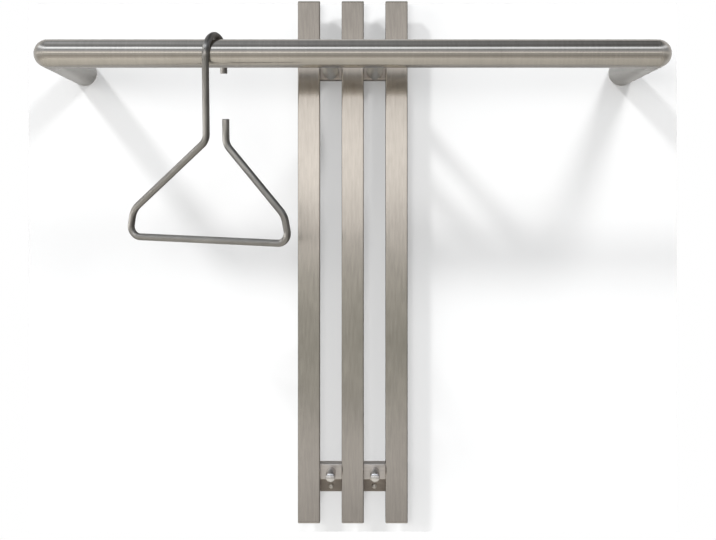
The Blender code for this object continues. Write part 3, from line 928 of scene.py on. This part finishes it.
# Light: a lamp above on either side and one in front draw the shadows on the board, one at the
# side fills in between the bars, and three light the hanger alone. No shadow falls from what a
# lamp "passes", and a lamp with "lights" lights nothing else and shows in the metal.
lamps = {
    "left": {"place": (-3.90, -3.90, 4.50), "power": 420, "size": 0.8},
    "right": {
        "place": (0.86, -1.26, 1.20), "power": 31, "size": 0.42,
        "passes": barPieces("left") + [
            "leftRailStrut", "upperCrossBar", "upperCrossBarLeftCap",
            "lowerCrossBar", "lowerCrossBarLeftCap",
        ],
    },
    "front": {"place": (-0.62, -3.00, 0.05), "power": 38, "size": 0.9},
    "side": {
        "place": (-3.20, -1.90, 0.30), "power": 60, "size": 2.2,
        "passes": barPieces("left") + barPieces("middle"),
    },
    "hanger": {
        "place": (-2.60, -0.46, -0.40), "power": 11, "size": 3.4, "height": 0.5,
        "lights": ["coatHanger"],
    },
    "hangerFront": {
        "place": (-1.45, -2.30, 0.45), "power": 5, "size": 0.8, "lights": ["coatHanger"],
    },
    "hook": {"place": (-2.40, -0.40, 1.15), "power": 5, "size": 0.8, "lights": ["coatHanger"]},
}
lampTarget = (0, 0, -0.2)


# the pieces that a lamp passes or lights
def lampGroup(name, pieces, state):
    group = bpy.data.collections.new(name)
    for piece in pieces:
        group.objects.link(bpy.data.objects[piece])
    for entry in group.collection_objects:
        entry.light_linking.link_state = state
    return group


def makeLamps():
    for name, lamp in lamps.items():
        light = bpy.data.lights.new(f"{name} lamp", "AREA")
        light.shape = "ELLIPSE"
        light.size, light.size_y = lamp["size"], lamp.get("height", lamp["size"])
        light.energy = lamp["power"]
        holder = bpy.data.objects.new(f"{name} lamp", light)
        aim = Vector(lamp["place"]) - Vector(lampTarget)
        holder.location = lamp["place"]
        holder.rotation_euler = aim.to_track_quat("Z", "Y").to_euler()
        holder.visible_glossy = "lights" in lamp
        holder.visible_camera = False
        bpy.context.scene.collection.objects.link(holder)
        linking = holder.light_linking
        if "passes" in lamp:
            passed = lampGroup(f"passed by the {name} lamp", lamp["passes"], "EXCLUDE")
            linking.blocker_collection = passed
        if "lights" in lamp:
            lit = lampGroup(f"lit by the {name} lamp", lamp["lights"], "INCLUDE")
            linking.receiver_collection = lit


# Studio: what the metal mirrors, as a tone by height and a share of it by the direction's x
cool = (0.93, 1.0, 1.10)
plain = (1.0, 0.985, 0.975)
warm = (1.0, 0.955, 0.885)
drab = (1.0, 1.01, 0.92)
studio = {
    # degrees above the horizon, radiance and tint
    "tones": [
        (-90, 0.58, plain), (-50, 0.56, warm), (-37, 0.50, warm), (-28, 0.38, warm),
        (-18, 0.33, warm), (-13.5, 0.39, plain), (-11.2, 0.67, plain), (-9.8, 0.58, plain),
        (-8, 0.38, drab), (-4.5, 0.365, drab), (-2.5, 0.42, drab), (-0.8, 0.73, plain),
        (0.8, 1.18, plain), (3, 1.38, plain), (5, 1.30, plain), (6.2, 0.70, plain),
        (8, 0.54, plain), (12, 0.50, plain), (17, 0.47, cool), (25, 0.33, cool),
        (30.3, 0.32, cool), (32.8, 1.25, cool), (38, 1.70, cool), (43.3, 1.68, cool),
        (46.2, 0.60, cool), (50, 0.24, cool), (56, 0.115, cool), (68, 0.115, cool),
        (74, 0.21, cool), (80, 0.20, cool), (85, 0.14, cool), (90, 0.20, cool),
    ],
    # x from left to right and the share there, below and overhead
    "sides": [
        (-1, 0.95), (-0.7, 1.02), (-0.4, 1.1), (-0.2, 1.1), (-0.06, 1.07), (0, 1.0),
        (0.06, 0.88), (0.25, 0.82), (0.5, 0.78), (0.74, 0.72), (1, 0.66),
    ],
    "overhead": [
        (-1, 1.0), (-0.55, 1.3), (-0.3, 2.8), (-0.2, 2.3), (0, 1.35),
        (0.11, 0.95), (0.23, 0.6), (0.5, 0.42), (1, 0.3),
    ],
    "overheadFrom": (50, 62), "behind": 0.6, "behindFrom": (0.02, 0.2),
    "backdrop": 1.0, "mirrorShare": 0.08,
}


# A ramp over a range. Its colours stay within 1: each is a share of the greatest tone and tint.
def toneRamp(nodes, links, source, span, stops):
    ramp = nodes.new("ShaderNodeValToRGB")
    links.new(rangeNode(nodes, links, source, span), ramp.inputs["Fac"])
    elements = ramp.color_ramp.elements
    elements.remove(elements[-1])
    most = max(cool) * max(tone for _, tone, _ in stops)
    for number, (value, tone, tint) in enumerate(stops):
        at = (value - span[0]) / (span[1] - span[0])
        stop = elements.new(at) if number else elements[0]
        stop.position = at
        stop.color = (*[tone / most * part for part in tint], 1)
    return ramp.outputs["Color"], most


def plainGlow(nodes, tone):
    node = nodes.new("ShaderNodeBackground")
    node.inputs["Color"].default_value = (tone, tone, tone, 1)
    return node.outputs[0]


def makeStudio():
    world = bpy.data.worlds.new("studio")
    bpy.context.scene.world = world
    world.use_nodes = True
    nodes, links = world.node_tree.nodes, world.node_tree.links
    place = nodes.new("ShaderNodeTexCoord")
    axes = axesOf(nodes, links, place.outputs["Generated"])
    radians = mathNode(nodes, links, "ARCSINE", axes["Z"])
    degrees = mathNode(nodes, links, "MULTIPLY", radians, 180 / math.pi)
    tone, mostTone = toneRamp(nodes, links, degrees, (-90, 90), studio["tones"])

    shares = []
    for zone in ("sides", "overhead"):
        stops = [(*stop, (1, 1, 1)) for stop in studio[zone]]
        share, most = toneRamp(nodes, links, axes["X"], (-1, 1), stops)
        shares.append(mathNode(nodes, links, "MULTIPLY", share, most * mostTone))
    overhead = rangeNode(nodes, links, degrees, studio["overheadFrom"], way="SMOOTHSTEP")
    strength = nodes.new("ShaderNodeMix")
    links.new(overhead, strength.inputs["Factor"])
    links.new(shares[0], strength.inputs["A"])
    links.new(shares[1], strength.inputs["B"])
    glow = nodes["Background"]
    links.new(tone, glow.inputs["Color"])
    links.new(strength.outputs["Result"], glow.inputs["Strength"])

    # the pale wall goes on behind, below the overhead part
    back = rangeNode(nodes, links, axes["Y"], studio["behindFrom"])
    below = mathNode(nodes, links, "SUBTRACT", 1, overhead)
    wallShare = mathNode(nodes, links, "MULTIPLY", back, below)
    room = mixNode(nodes, links, wallShare, glow.outputs[0], plainGlow(nodes, studio["behind"]))

    # and the camera sees a white backdrop
    ray = nodes.new("ShaderNodeLightPath")
    seen = seenShare(nodes, links, ray, studio["mirrorShare"])
    whole = mixNode(nodes, links, seen, room, plainGlow(nodes, studio["backdrop"]))
    links.new(whole, nodes["World Output"].inputs["Surface"])


makeStage()
makeLamps()
makeStudio()
bpy.context.scene.view_settings.view_transform = "Standard"

# Camera: its picture is parallel to the wall, and its axis meets the picture above the middle.
# The focal length and the axis are in the picture's pixels.
view = {
    "place": (0.001, -2.0, -0.2338), "focal": 1246.8, "axis": (353.4, 219.2),
    "width": 716, "height": 540, "sensor": 36,
}
lens = bpy.data.cameras.new("camera")
lens.sensor_width = view["sensor"]
lens.lens = view["focal"] / view["width"] * view["sensor"]
lens.shift_x = (view["width"] / 2 - view["axis"][0]) / view["width"]
lens.shift_y = (view["axis"][1] - view["height"] / 2) / view["width"]
camera = bpy.data.objects.new("camera", lens)
camera.location = view["place"]
camera.rotation_euler = (math.pi / 2, 0, 0)
bpy.context.scene.collection.objects.link(camera)
bpy.context.scene.camera = camera
print("stage, light and camera made")
